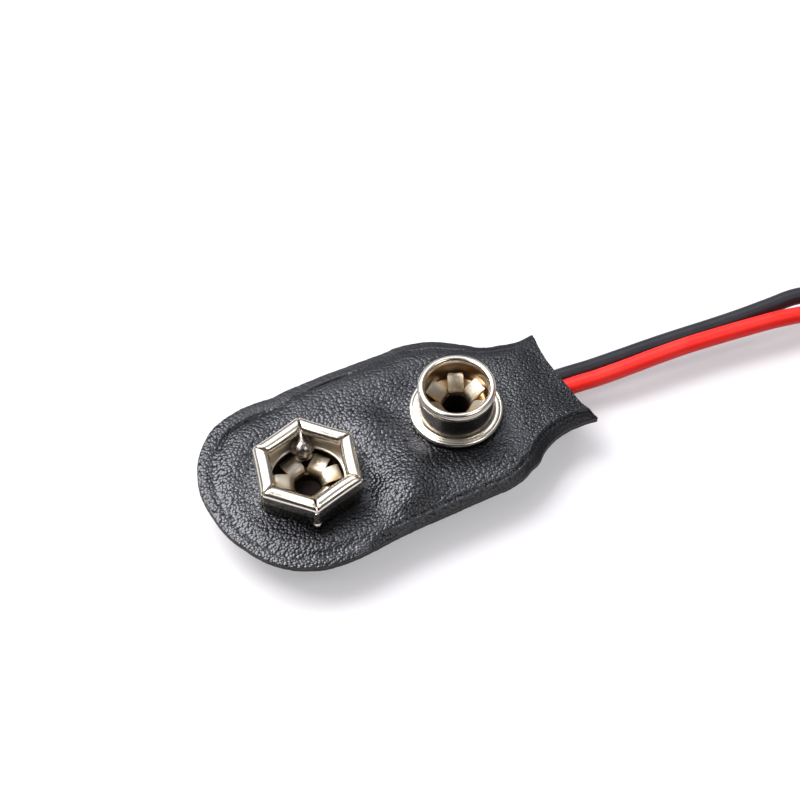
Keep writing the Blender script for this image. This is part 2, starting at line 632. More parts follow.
class SNAP_OT_stage(bpy.types.Operator):
    """Add the camera at the photograph's angle, the floor and the studio light"""
    bl_idname = "battery_snap.stage"
    bl_label = "Stage"

    def execute(self, context):
        scene = context.scene
        scene.view_settings.view_transform = "Standard"
        azimuth, elevation = math.radians(CAMERA_AZIMUTH), math.radians(CAMERA_ELEVATION)
        back = Vector((math.sin(azimuth) * math.cos(elevation), -math.cos(azimuth) * math.cos(elevation),
                       math.sin(elevation)))
        deselect()
        bpy.ops.object.camera_add(location=(Vector(CAMERA_AIM) + CAMERA_DISTANCE * back) * MM)
        camera = name_piece("Camera")
        camera.rotation_euler = back.to_track_quat("Z", "Y").to_euler()
        camera.data.lens = CAMERA_LENS
        camera.data.sensor_width = 36.0
        camera.data.shift_x, camera.data.shift_y = CAMERA_SHIFT
        camera.data.clip_start = 0.01
        camera.data.clip_end = 10.0
        scene.camera = camera
        self.floor()
        self.lamps()
        self.surroundings(scene)
        return {"FINISHED"}

    def floor(self):
        deselect()
        bpy.ops.mesh.primitive_plane_add(size=4.0, location=(0, 0, -0.00002))
        floor = name_piece("Floor")
        made = bpy.data.materials.new("Pale floor")
        made.use_nodes = True
        tree = made.node_tree
        tree.nodes.clear()
        link = tree.links.new
        out = tree.nodes.new("ShaderNodeOutputMaterial")
        matt = node(tree, "ShaderNodeBsdfDiffuse", Color=(0.46, 0.453, 0.48, 1))
        glow = node(tree, "ShaderNodeEmission", Color=(0.98, 0.97, 1.0, 1), Strength=0.395)
        dark = node(tree, "ShaderNodeEmission", Color=(0, 0, 0, 1), Strength=0.0)
        path = tree.nodes.new("ShaderNodeLightPath")
        seen = math_node(tree, "MAXIMUM", path.outputs["Is Camera Ray"], path.outputs["Is Glossy Ray"])
        seen = math_node(tree, "MAXIMUM", seen, path.outputs["Is Transmission Ray"])
        pick = tree.nodes.new("ShaderNodeMixShader")
        both = tree.nodes.new("ShaderNodeAddShader")
        link(seen, pick.inputs[0])
        link(dark.outputs[0], pick.inputs[1])
        link(glow.outputs[0], pick.inputs[2])
        link(matt.outputs[0], both.inputs[0])
        link(pick.outputs[0], both.inputs[1])
        link(both.outputs[0], out.inputs["Surface"])
        floor.data.materials.append(made)

    def lamps(self):
        for name, spot_at, size, power, tint in LAMPS:
            deselect()
            bpy.ops.object.light_add(type="AREA", location=Vector(spot_at) * MM)
            lamp = name_piece(name)
            lamp.rotation_euler = (Vector(spot_at) - Vector(LAMP_AIM)).to_track_quat("Z", "Y").to_euler()
            lamp.data.shape = "RECTANGLE"
            lamp.data.size, lamp.data.size_y = size[0] * MM, size[1] * MM
            lamp.data.energy = power
            lamp.data.color = tint

    def surroundings(self, scene):
        world = bpy.data.worlds.new("Studio")
        scene.world = world
        world.use_nodes = True
        tree = world.node_tree
        tree.nodes.clear()
        link = tree.links.new
        out = tree.nodes.new("ShaderNodeOutputWorld")
        where = tree.nodes.new("ShaderNodeTexCoord")
        split = tree.nodes.new("ShaderNodeSeparateXYZ")
        link(where.outputs["Generated"], split.inputs[0])
        height = ramp(tree, [(0.0, 0.2), (0.5, 0.3), (0.68, 0.75), (1.0, 1.0)])
        link(math_node(tree, "MULTIPLY_ADD", split.outputs["Z"], 0.5, 0.5), height.inputs["Fac"])
        front = tree.nodes.new("ShaderNodeVectorMath")
        front.operation = "DOT_PRODUCT"
        front.inputs[1].default_value = (-0.433, -0.901, 0.0)
        link(where.outputs["Generated"], front.inputs[0])
        shade = tree.nodes.new("ShaderNodeMapRange")
        shade.interpolation_type = "SMOOTHSTEP"
        for label, value in (("From Min", 0.1), ("From Max", 0.62), ("To Min", 1.0), ("To Max", 0.12)):
            shade.inputs[label].default_value = value
        link(front.outputs["Value"], shade.inputs["Value"])
        light = tree.nodes.new("ShaderNodeBackground")
        light.inputs["Strength"].default_value = 0.27
        dimmed = tree.nodes.new("ShaderNodeVectorMath")
        dimmed.operation = "SCALE"
        link(height.outputs["Color"], dimmed.inputs[0])
        link(shade.outputs[0], dimmed.inputs["Scale"])
        link(dimmed.outputs[0], light.inputs["Color"])
        plain = node(tree, "ShaderNodeBackground", Color=(1, 1, 1, 1), Strength=1.0)
        path = tree.nodes.new("ShaderNodeLightPath")
        pick = tree.nodes.new("ShaderNodeMixShader")
        link(path.outputs["Is Camera Ray"], pick.inputs[0])
        link(light.outputs[0], pick.inputs[1])
        link(plain.outputs[0], pick.inputs[2])
        link(pick.outputs[0], out.inputs["Surface"])


# Leads

RED_ROUTE = ((-4, -1.05, 1.35), (-2, -1.39, 1.35), (0.8, -2.2, 1.35), (3.6, -2.85, 1.35), (6.4, -2.75, 1.35),
             (8.3, -1.95, 1.35), (10.2, -0.98, 1.4), (12.3, -0.4, 1.65), (14.6, -0.22, 1.95),
             (17.5, -0.52, 2.1), (20, -0.67, 2.2), (22.5, -0.77, 2.3), (25, -0.91, 2.35), (27.5, -1.13, 2.35),
             (30, -1.43, 2.4), (32.5, -1.75, 2.4), (35, -2.1, 2.1), (37.6, -2.75, 1.5), (40.4, -3.6, 0.95),
             (43.2, -4.4, 0.95))
BLACK_ROUTE = ((8.4, 0.62, 1.35), (10.2, 0.804, 1.35), (12.3, 1.02, 1.5), (14.6, 1.09, 1.7), (17.5, 0.87, 1.68),
               (20, 0.74, 1.7), (22.5, 0.59, 1.78), (25, 0.4, 1.84), (27.5, 0.19, 1.87), (30, -0.04, 2),
               (32.5, -0.23, 2.2), (35, -0.4, 2.35), (37.6, -1.28, 2.4), (40.4, -3.03, 2.4), (43.2, -4.4, 2.25))
# Where the leads enter the coil, and where the red and the black one leave it, in degrees
COIL_START, RED_LEAVES, BLACK_LEAVES = 76.1, -818.0, -793.0
# Heights of the red and the black coil, and the radius inside them
RED_LEVEL, BLACK_LEVEL, COIL_INSIDE = 0.95, 2.25, 5.8


def coil_point(turn, radius, z):
    """A point about the coil's middle."""
    coil, a = settings().leads.coil, math.radians(turn)
    return Vector((coil[0] + radius * math.cos(a), coil[1] + radius * math.sin(a), z))


def coil_radius(turn):
    leads = settings().leads
    return leads.outer - leads.diameter * (COIL_START - turn) / 360


def coil_turns(z, leave):
    """The turns of a lead, inwards from where it enters the coil to where it leaves it."""
    return [coil_point(turn, coil_radius(turn), z) for turn in np.arange(COIL_START - 15, leave, -15).tolist()]


def lead_end(z, leave):
    """The bend in from the coil to a lead's tip, and the direction that it ends in."""
    bend = 2.5 * settings().leads.diameter
    middle = coil_point(leave, coil_radius(leave) - bend, z)
    turns = np.radians(leave - np.linspace(0, 75, 6))
    points = [middle + bend * Vector((math.cos(t), math.sin(t), 0)) for t in turns]
    way = Vector((math.sin(turns[-1]), -math.cos(turns[-1]), 0))
    return points + [points[-1] + 0.5 * way], way


def rounded(points, steps=6):
    """A smooth line through the points."""
    p = [Vector(q) for q in points]
    p = [2 * p[0] - p[1]] + p + [2 * p[-1] - p[-2]]
    line = []
    for a, b, c, d in zip(p, p[1:], p[2:], p[3:]):
        for i in range(steps):
            t = i / steps
            line.append(0.5 * (2 * b + (c - a) * t + (2 * a - 5 * b + 4 * c - d) * t ** 2
                               + (3 * b - a - 3 * c + d) * t ** 3))
    return line + [p[-2]]


class SNAP_OT_leads(bpy.types.Operator):
    """Lay the red and the black lead from the pad into their coil"""
    bl_idname = "battery_snap.leads"
    bl_label = "Leads"

    def execute(self, context):
        finish = settings().finish
        red = finish_of("Red insulation", insulation, "Red insulation", finish.red, (0.95, 0.05, 0.04))
        black = finish_of("Black insulation", insulation, "Black insulation", finish.black, (0.03, 0.031, 0.038))
        self.lay("Red_lead", RED_ROUTE, RED_LEVEL, RED_LEAVES, red, "red_pvc", ("red_lead", "red_coil"))
        self.lay("Black_lead", BLACK_ROUTE, BLACK_LEVEL, BLACK_LEAVES, black, "black_pvc",
                 ("black_lead", "black_coil"))
        return {"FINISHED"}

    def lay(self, name, route, z, leave, material, slot, nodes):
        leads = settings().leads
        line = rounded(list(route) + coil_turns(z, leave) + lead_end(z, leave)[0])
        deselect()
        bpy.ops.curve.primitive_nurbs_path_add()
        piece = name_piece(name)
        piece.data.splines.clear()
        spline = piece.data.splines.new("POLY")
        spline.points.add(len(line) - 1)
        for point, at in zip(spline.points, line):
            point.co = (*(at * MM), 1)
        spline.use_smooth = True
        piece.data.dimensions = "3D"
        piece.data.bevel_depth = leads.diameter / 2 * MM
        piece.data.bevel_resolution = 8
        piece.data.use_fill_caps = True
        dress(piece, slot, material)
        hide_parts(*nodes)


class SNAP_OT_declare_leads(bpy.types.Operator):
    """Say how long each lead is and what is on it"""
    bl_idname = "battery_snap.declare_leads"
    bl_label = "Declare leads"

    def execute(self, context):
        return {"FINISHED"}


# Pad

# Weld width, then drops of its edge, middle, crease and ridge, then how far in the ridge and the level top begin
ROUND_NEAR, ROUND_FAR = (0.85, 0.42, 0.34, 0.34, 0.17, 0.60, 1.90), (1.15, 0.40, 0.32, 0.34, 0.17, 0.60, 1.90)
SIDE_NEAR, SIDE_FAR = (0.62, 0.55, 0.36, 0.18, 0.10, 0.50, 2.40), (0.80, 0.46, 0.38, 0.28, 0.10, 0.50, 1.50)
NECK_NEAR, NECK_FAR = (0.62, 0.60, 0.38, 0.12, 0.00, 0.22, 0.80), (0.40, 0.42, 0.38, 0.26, 0.08, 0.50, 1.40)
RINGS = (0, 0.04, 0.1, 0.2, 0.3, 0.4, 0.5, 0.6, 0.7, 0.8, 0.9, 1.0, 1.1, 1.2, 1.3, 1.4, 1.5, 1.6, 1.7, 1.9, 2.1,
         2.4, 2.8, 3.2)
SPINE = (-7.0, 10.3)
# Places where the sheet stands up or dips: x, y, radius, height
SWELLS = ((0.6, -3.0, 1.7, 0.22), (-0.6, -5.0, 1.8, 0.52), (-3.2, -2.6, 1.2, -0.36), (-3.7, -4.8, 1.2, -0.20),
          (-0.9, 1.6, 1.5, 0.22), (1.0, 2.6, 1.0, -0.16), (-9.5, -4.6, 1.6, 0.05), (2.0, 4.8, 2.4, 0.06),
          (9.6, -1.2, 1.6, 0.05), (9.4, 2.6, 1.2, -0.05))

# How far the hand-cut edge stands out from the drawn one: by angle round the end, then by x on each side
END_CUT = ((90, 105, 120, 135, 150, 165, 180, 195, 210, 225, 240, 255, 270),
           (-0.16, 0.0, 0.18, 0.05, -0.03, -0.07, -0.19, -0.22, -0.26, -0.1, 0.0, 0.08, 0.1))
FAR_CUT = ((-7, -6, -5, -4, 0, 3, 4.3, 5.3, 6.3, 7.3, 8.2, 8.9, 9.8, 10.7, 11.6, 14.7),
           (-0.16, -0.22, -0.04, -0.08, -0.06, 0.0, 0.1, 0.0, -0.15, -0.24, -0.38, -0.45, -0.4, -0.18, 0.04, 0.08))
NEAR_CUT = ((-7, -6, -5, -4, 6, 6.9, 8.6, 9.6, 14.7), (0.1, 0.1, 0.07, 0.03, 0.0, -0.1, -0.28, 0.0, 0.0))
MOUTH_SET = ((-4.6, -4.2, -3.4, -1.5, -0.4, 0.9, 2.0, 3.5, 4.4),
             (0.58, 0.42, 0.26, 0.34, 0.26, 0.02, -0.14, -0.34, -0.40))
# Fine creases along the weld: far side 1 or near side -1, from and to x, depth
CREASES = ((1, -12.4, -6.3, 0.28), (1, -4.5, 1.0, 0.22), (1, 4.0, 15.6, 0.08), (-1, -4.4, 13.6, 0.10))
# Steps round the cut edge of a sheet, in degrees
EDGE_TURN = (60, 30, 0, -30, -60)


def hand_cut(line):
    """Moves the drawn outline to where the sheets were cut."""
    x, y = line.T
    angle = np.degrees(np.arctan2(np.abs(y), x + 7))
    angle = np.where(y > 0, angle, 360 - angle)
    side = np.where(y > 0, np.interp(x, *FAR_CUT), np.interp(x, *NEAR_CUT))
    out = np.where(x < -7, np.interp(angle, *END_CUT), side)
    foot = np.stack([np.clip(x, *SPINE), np.zeros(len(x))], axis=1)
    away = (line - foot) / np.linalg.norm(line - foot, axis=1)[:, None]
    return line + away * out[:, None]


def pad_half_outline():
    """Half of the cut, from the middle of the round end along the far side to the ear's tip."""
    p = settings().pad
    end_x, tip_x = -p.length / 2 + p.end_length, p.length / 2
    neck_x, half, neck, shoulder = tip_x - p.ear_length, p.width / 2, p.neck / 2, p.shoulder / 2
    r, fullness = p.neck_radius, 2 / 2.15
    swing = math.acos(1 - (shoulder - neck) / 2 / r)
    shoulder_x = neck_x - 2 * r * math.sin(swing)
    line = [(end_x - p.end_length * abs(math.cos(t)) ** fullness, half * math.sin(t) ** fullness)
            for t in np.linspace(math.pi, math.pi / 2, 120)]
    line += [(end_x + (shoulder_x - end_x) * t, half + (shoulder - half) * t) for t in np.linspace(0, 1, 60)[1:]]
    line += [(shoulder_x + r * math.sin(t), shoulder - r * (1 - math.cos(t))) for t in np.linspace(0, swing, 40)[1:]]
    ear = math.asin(p.ear_length / r)
    line += [(neck_x + r * math.sin(t), neck + r * (1 - math.cos(t))) for t in np.linspace(-swing, ear, 70)[1:]]
    return np.array(line)


def weld_keys(line):
    """The weld's keys at points of its edge, by where they lie on the pad."""
    x, y = line[:, 0], line[:, 1]
    near = ease(0.5 - y / 6)[:, None]
    neck = ease((x - 7.5) / 3)[:, None]
    side = ease((x + 8) / 5)[:, None]

    def across(far_row, near_row):
        return np.array(far_row) * (1 - near) + np.array(near_row) * near
    keys = across(ROUND_FAR, ROUND_NEAR) * (1 - side) + across(SIDE_FAR, SIDE_NEAR) * side
    return keys * (1 - neck) + across(NECK_FAR, NECK_NEAR) * neck


def drop_at(d, keys):
    """Drop below the pad's top at a distance in from the weld's edge: a smooth line through its keys."""
    w, e, m, c, r, a, b = keys.T
    knots = np.stack([np.zeros_like(w), 0.5 * w, w, w + a, w + b], axis=1)
    values = np.stack([e, m, c, r, np.zeros_like(w)], axis=1)
    slopes = np.zeros_like(values)
    slopes[:, 1:-1] = (values[:, 2:] - values[:, :-2]) / (knots[:, 2:] - knots[:, :-2])
    slopes[:, 0] = (values[:, 1] - values[:, 0]) / (0.5 * w)
    result = np.zeros_like(d)
    for k in range(4):
        h = knots[:, k + 1] - knots[:, k]
        t = np.clip((d - knots[:, k]) / h, 0, 1)
        here = (d >= knots[:, k]) & ((d < knots[:, k + 1]) if k < 3 else True)
        value = (values[:, k] * (1 + 2 * t) * (1 - t) ** 2 + slopes[:, k] * h * t * (1 - t) ** 2
                 + values[:, k + 1] * t ** 2 * (3 - 2 * t) - slopes[:, k + 1] * h * t ** 2 * (1 - t))
        result = np.where(here, value, result)
    return result


class PadShape:
    """The cut, the lines in from it to the spine, and the heights of the two sheets along them."""

    def __init__(self):
        p = settings().pad
        half = polyline(pad_half_outline(), np.linspace(0, 1, p.stations))
        tip = half[-1]
        t = np.linspace(1, 0, 41)
        mouth = np.stack([tip[0] - p.mouth_hollow * (1 - t ** 2), tip[1] * t], axis=1)
        joined = np.concatenate([half, mouth[1:]])
        corner = np.arange(len(half) - 4, len(half) + 3)
        for _ in range(2):
            joined[corner] = (joined[corner - 1] + 2 * joined[corner] + joined[corner + 1]) / 4
        self.loop = hand_cut(np.concatenate([joined, joined[-2:0:-1] * (1, -1)]))
        foot = np.stack([np.clip(self.loop[:, 0], *SPINE), np.zeros(len(self.loop))], axis=1)
        reach = np.linalg.norm(foot - self.loop, axis=1)
        self.inward = (foot - self.loop) / reach[:, None]
        depths = [np.full(len(reach), r) for r in RINGS]
        depths += [depths[-1] + (reach - depths[-1]) * t for t in np.linspace(0, 1, 13)[1:]]
        self.rings = [self.loop + self.inward * d[:, None] for d in depths]
        run = half[-1] - half[-2]
        run = run / np.linalg.norm(run)
        beyond = half[-1] + run * np.linspace(0.2, 3, 15)[:, None]
        far = np.concatenate([half, beyond])
        self.weld = hand_cut(np.concatenate([far[::-1], far[1:] * (1, -1)]))
        self.keys = weld_keys(self.weld)
        self.fields = [self.field(ring) for ring in self.rings]

    def field(self, points):
        """Each point's distance from the weld's edge, its keys there, and its distance from the mouth."""
        apart = np.linalg.norm(points[:, None, :] - self.weld[None, :, :], axis=2)
        nearest = np.clip(apart.argmin(axis=1), 1, len(self.weld) - 2)
        distance = np.full(len(points), 1e9)
        for side in (-1, 1):
            a, b = self.weld[nearest], self.weld[nearest + side]
            t = np.clip(((points - a) * (b - a)).sum(1) / ((b - a) ** 2).sum(1), 0, 1)
            distance = np.minimum(distance, np.linalg.norm(points - a - t[:, None] * (b - a), axis=1))
        p = settings().pad
        edge = p.length / 2 - p.mouth_hollow * (1 - (points[:, 1] / 4.5) ** 2)
        return distance, self.keys[nearest], np.maximum(edge - points[:, 0], 0)

    def top(self, k):
        """Heights of the upper sheet along a ring: its weld, creases, swells, and dips round the contacts."""
        points, (d, keys, mouth) = self.rings[k], self.fields[k]
        drop = drop_at(d, keys)
        inside = ease((d - keys[:, 0]) / 1.2)
        drop += 0.22 * (1 - ease(mouth / 2.4)) * inside
        x, y = points.T
        for side, first, last, depth in CREASES:
            along = ease((x - first) / 2.2) * (1 - ease((x - last + 2.2) / 2.2)) * (y * side > 0)
            drop += depth * along * np.exp(-((d - keys[:, 0]) / 0.08) ** 2)
        for cx, cy, radius, height in SWELLS:
            drop -= height * np.exp(-((x - cx) ** 2 + (y - cy) ** 2) / radius ** 2) * inside
        flat = np.ones(len(points))
        for side, radius, dip in ((-1, 4.5, 0.14), (1, 3.7, 0.10)):
            at = contact_place(side)
            away = np.hypot(x - at.x, y - at.y)
            flat *= ease((away - radius + 0.3) / 0.8)
            drop += dip * np.exp(-((away - radius - 0.2) / 0.85) ** 2) * inside
        drop = np.where(drop < 0, drop * flat, drop) + 0.02 * (1 - flat)
        return settings().pad.top - drop

    def pressed(self, k):
        """Where the grain is pressed smooth: 1 on the weld of the far side and the neck."""
        d, keys, _ = self.fields[k]
        x, y = self.rings[k].T
        far = ease((y - 2) / 3) * ease((x + 11) / 3)
        where = np.maximum(far, 0.7 * ease((x + 5) / 3))
        return np.maximum(where * (1 - ease((d - 0.6 * keys[:, 0]) / (0.6 * keys[:, 0]))),
                          0.5 * far * (1 - ease((d - 1.2) / 2.4)))

    def sheet(self, k):
        """Thickness of a sheet along a ring."""
        p, (d, keys, _) = settings().pad, self.fields[k]
        return p.weld_sheet + (p.sheet - p.weld_sheet) * ease((d - keys[:, 0]) / 0.5)

    def under(self, k):
        """Inside of the lower sheet: on the weld, then down to the surface."""
        p, (d, keys, mouth) = settings().pad, self.fields[k]
        down = ease((d - keys[:, 0]) / 2.0)
        level = p.sheet + 0.25 * (1 - ease(mouth / 2.5))
        return (self.top(k) - self.sheet(k)) * (1 - down) + level * down


def swayed(points):
    """Swings the cut as it lies in the photograph and rolls the sheets slightly."""
    p = settings().pad
    x, y, z = points.T.copy()
    y += p.sway * ease((x + 7) / 6) * (1 - ease((x - 5) / 4))
    x -= 0.03 * y * ease((-x - 9) / 5)
    x += ease((x - 11.5) / 2.6) * np.interp(y, *MOUTH_SET)
    broad = np.array([noise.noise(Vector((a * 0.45, b * 0.45, 5.0))) for a, b in zip(x, y)])
    z += 0.04 * np.minimum(broad, 0.1) * np.clip((z - 1.0) / 1.5, 0, 1)
    return np.stack([x, y, z], axis=1)


def cover(name, shape, outer, inner):
    """A sheet between two sets of heights, as one closed shell with a rounded, slightly ragged cut edge."""
    p = settings().pad
    frayed = np.array([noise.noise(Vector((x * 1.3, y * 1.3, 2.0))) + 0.8 * noise.noise(Vector((x * 4, y * 4, 7.0)))
                       for x, y in shape.loop])
    count, rings = len(shape.loop), len(shape.rings)
    rows = []
    for k in range(rings - 1, -1, -1):
        rows.append((shape.rings[k], outer(k), k))
    high, low = outer(0), inner(0)
    for degrees in EDGE_TURN:
        a = math.radians(degrees)
        bulge = (0.45 * np.abs(high - low) / 2 * math.cos(a))[:, None]
        rows.append((shape.loop - shape.inward * bulge, (high + low) / 2 + (high - low) / 2 * math.sin(a), 0))
    for k in range(rings):
        rows.append((shape.rings[k], inner(k), k))
    table, smooth_at = np.empty((len(rows), count, 3)), np.empty((len(rows), count))
    for j, (xy, z, k) in enumerate(rows):
        depth = RINGS[k] if k < len(RINGS) else 9.0
        ragged = p.ragged * frayed * math.exp(-depth / 0.2)
        table[j, :, :2], table[j, :, 2] = xy - shape.inward * ragged[:, None], z
        smooth_at[j] = shape.pressed(k)

    def cell(u, v):
        return np.rint(v * (len(rows) - 1)).astype(int), np.rint(u * count).astype(int) % count
    flags = [1 if rings <= j < rings + len(EDGE_TURN) - 1 else 0 for j in range(len(rows) - 1)]
    piece = mapped_grid(name, count, len(rows) - 1, lambda u, v: table[cell(u, v)], flags,
                        ("Pressed", lambda u, v: smooth_at[cell(u, v)]))
    paint(piece, finish_of("Leatherette", leatherette), finish_of("Cut leatherette edge", cut_edge))
    settle(piece, 2e-6)
    flat = np.empty(len(piece.data.vertices) * 3)
    piece.data.vertices.foreach_get("co", flat)
    moved = swayed(flat.reshape(-1, 3) / MM)
    piece.data.vertices.foreach_set("co", (moved * MM).ravel())
    piece.data.update()
    return piece


def cut_hole(piece, at, radius):
    """Cuts a round hole through a sheet."""
    deselect()
    bpy.ops.mesh.primitive_cylinder_add(vertices=64, radius=radius * MM, depth=0.004, location=Vector(at) * MM)
    tool = bpy.context.object
    deselect()
    bpy.context.view_layer.objects.active = piece
    piece.select_set(True)
    made = piece.modifiers.new("Hole", "BOOLEAN")
    made.operation, made.object, made.solver = "DIFFERENCE", tool, "EXACT"
    bpy.ops.object.modifier_apply(modifier="Hole")
    deselect()
    tool.select_set(True)
    bpy.ops.object.delete()


class SNAP_OT_pad(bpy.types.Operator):
    """Model the upper and the lower leatherette sheet of the pad"""
    bl_idname = "battery_snap.pad"
    bl_label = "Pad"

    def execute(self, context):
        shape, contacts = PadShape(), settings().contacts
        upper = cover("Top_cover", shape, shape.top, lambda k: shape.top(k) - shape.sheet(k))
        cut_hole(upper, contact_place(-1), contacts.recess / 2 + contacts.metal + 0.05)
        cut_hole(upper, contact_place(1), contacts.eyelet_bore / 2 + contacts.metal + 0.05)
        lower = cover("Bottom_cover", shape, shape.under, lambda k: shape.under(k) - shape.sheet(k))
        for piece, node_name in ((upper, "top_cover"), (lower, "bottom_cover")):
            smooth(piece, 60)
            dress(piece, "leatherette")
            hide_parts(node_name)
        return {"FINISHED"}


# Contacts

def tube_of(name, profile, steps, to_pad, flags=None):
    """A profile of radii and heights turned about a contact's axis."""
    profile = np.asarray(list(profile) + [profile[0]], float)
    share = np.linspace(0, 1, len(profile))

    def put(u, v):
        r, z = np.interp(v, share, profile[:, 0]), np.interp(v, share, profile[:, 1])
        a = 2 * math.pi * u
        return to_pad(r * np.cos(a), r * np.sin(a), z)
    return mapped_grid(name, steps, len(profile) - 1, put, flags=flags)


class SNAP_OT_socket(bpy.types.Operator):
    """Model the six-sided socket with its rolled lips, recess and solder bead"""
    bl_idname = "battery_snap.socket"
    bl_label = "Socket"

    def execute(self, context):
        pieces = [self.floor()] + [self.wall(30 + 60 * k) for k in range(6)]
        pieces += [self.bead(), self.drip()]
        for piece in pieces:
            paint(piece, finish_of("Nickel plate", nickel, "Nickel plate", 0.19), finish_of("Tarnish", tarnish),
                  finish_of("Old nickel", nickel, "Old nickel", 0.15, (0.25, 0.22, 0.19), 0.4),
                  finish_of("Dull nickel", nickel, "Dull nickel", 0.36, (0.86, 0.76, 0.60), 1.18),
                  finish_of("Solder", solder))
        piece = join("Hex_socket", pieces)
        smooth(piece, 38)
        dress(piece, "nickel")
        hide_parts("hex_socket")
        return {"FINISHED"}

    def wall(self, turn):
        c = settings().contacts
        to_pad = contact_frame(-1, c.socket_turn + turn)
        flat, wide, roll, bend = c.flats / 2, 0.58, c.lip / 2, 0.16
        roll_z, inner = c.socket_height - roll, flat - c.metal
        roll_end = 360 - math.degrees(math.acos((wide - c.metal) / wide))
        loop = [(inner, 0.02)] + arc(flat - bend, bend, bend, -90, 0, 5)
        loop += [(flat, z) for z in np.linspace(bend, roll_z, 8)[1:-1]]
        loop += [(flat - wide + wide * x, roll_z + roll * z) for x, z in arc(0, 0, 1, 0, roll_end, 30)]
        lined = len(loop) - 5
        loop += [(inner, z) for z in np.linspace(loop[-1][1], 0.02, 8)[1:-1]]
        loop = np.array(loop)
        tangent = np.roll(loop, -1, axis=0) - np.roll(loop, 1, axis=0)
        tangent /= np.maximum(np.linalg.norm(tangent, axis=1), 1e-9)[:, None]
        outward = np.stack([tangent[:, 1], -tangent[:, 0]], axis=1)
        count, inset, corner = len(loop), c.slit / 2 / math.cos(math.radians(30)), 0.11
        steps = np.radians(np.linspace(0, 90, 6))
        pulls = np.concatenate([corner * (1 - np.sin(steps)), np.zeros(13), corner * (1 - np.sin(steps[::-1]))])
        runs = np.concatenate([corner * (1 - np.cos(steps)), np.zeros(13), corner * (1 - np.cos(steps[::-1]))])
        n, columns = len(steps), len(pulls)

        def put(u, v):
            k = np.rint(v * count).astype(int) % count
            col = np.rint(u * (columns - 1)).astype(int)
            x = loop[k, 0] - outward[k, 0] * pulls[col]
            z = loop[k, 1] - outward[k, 1] * pulls[col]
            half = loop[k, 0] * math.tan(math.radians(30)) - inset
            half = half - 0.15 * np.exp(-(np.maximum(z - 0.36, (0.36 - z) * 1.4) / 0.34) ** 2)
            share = np.clip((col - n + 1) / 14.0, 0, 1) * 2 - 1
            y = np.where(col < n, -half + runs[col], np.where(col >= columns - n, half - runs[col],
                                                              share * (half - corner)))
            bow = (1 - (y / half) ** 2) * np.clip((z - 0.8) / 1.2, 0, 1)
            sag = 0.05 * np.sin(turn * 1.7 + 3.0 * y / half) * np.clip((z - 0.8) / 1.2, 0, 1)
            return to_pad(x - 0.05 * bow, y, z - 0.02 * bow + 0.25 * sag)
        sides = [3 if j >= lined else 2 if j < 10 else 0 for j in range(count)]
        piece = mapped_grid("wall", columns - 1, count, put, flags=sides)
        cap_ends(piece)
        return piece

    def floor(self):
        c = settings().contacts
        to_pad = contact_frame(-1, c.socket_turn)
        recess, deep = c.recess / 2, c.metal - settings().pad.sheet
        bore = c.eyelet_bore / 2 + c.metal + 0.3
        hexagon = c.flats / 2 - 0.6 * c.metal
        loop = [(hexagon, c.metal, 1), (recess + 0.5, c.metal, 0.4)]
        loop += [(r, z, 0) for r, z in arc(recess + 0.12, c.metal - 0.12, 0.12, 90, 180, 5)]
        first = len(loop)
        loop += [(r, z, 0) for r, z in arc(recess - 0.12, deep + 0.12, 0.12, 0, -90, 5)]
        loop += [(bore + 0.3, deep, 0), (bore, deep, 0), (bore, deep - c.metal, 0), (recess + 0.1, deep - c.metal, 0)]
        last = len(loop) - 2
        loop += [(recess + c.metal, deep - 0.1, 0), (recess + c.metal, 0.02, 0), (hexagon, 0.02, 1)]
        loop = np.array(loop)
        count = len(loop)

        def put(u, v):
            k = np.rint(v * count).astype(int) % count
            a = 2 * math.pi * u
            six = 1 / np.cos((a + math.pi / 3) % (math.pi / 3) - math.pi / 6)
            r = loop[k, 0] * (1 + (six - 1) * loop[k, 2])
            return to_pad(r * np.cos(a), r * np.sin(a), loop[k, 1])
        ring = [3 if j < first - 1 or j >= last else 1 for j in range(count)]
        piece = mapped_grid("floor", 144, count, put, flags=ring)
        settle(piece)
        return piece

    def bead(self):
        """The ball of solder that hangs from the far corner into the recess."""
        c = settings().contacts
        corner = c.flats / 2 / math.cos(math.radians(30))
        return self.drop(60, (c.recess / 2 - 0.38, 0, c.metal + 0.28), (corner - 0.55, 0, c.socket_height * 0.62),
                         0.88, 0.2, 4)

    def drip(self):
        """The run of plate down the near corner."""
        c = settings().contacts
        corner = c.flats / 2 / math.cos(math.radians(30))
        return self.drop(240, (corner - 0.14, 0, 0.4), (corner - 0.16, 0, c.socket_height * 0.74), 0.33, 0.17, 0)

    def drop(self, turn, foot, head, ball, neck, flag):
        to_pad = contact_frame(-1, settings().contacts.socket_turn + turn)
        foot, head = np.array(foot, float), np.array(head, float)
        length = np.linalg.norm(head - foot)
        way = (head - foot) / length
        side, up = np.array([0.0, 1.0, 0.0]), np.cross(way, (0.0, 1.0, 0.0))
        rows = [(-ball * math.cos(a), ball * math.sin(a)) for a in np.radians(np.arange(0, 127, 9))]
        (x0, r0), (x1, r1) = rows[-1], (length, neck)
        rows += [(x0 + (x1 - x0) * t, r1 + (r0 - r1) * (1 - t) ** 1.5) for t in np.linspace(0, 1, 9)[1:]]
        rows += [(length + 0.06, 0.0)]
        rows = np.array(rows)

        def put(u, v):
            k = np.rint(v * (len(rows) - 1)).astype(int)
            a = 2 * math.pi * u
            p = foot + rows[k, :1] * way + rows[k, 1:] * (np.cos(a)[:, None] * side + np.sin(a)[:, None] * up)
            return to_pad(*p.T)
        piece = mapped_grid("drop", 32, len(rows) - 1, put, flags=[flag] * (len(rows) - 1))
        settle(piece)
        return piece


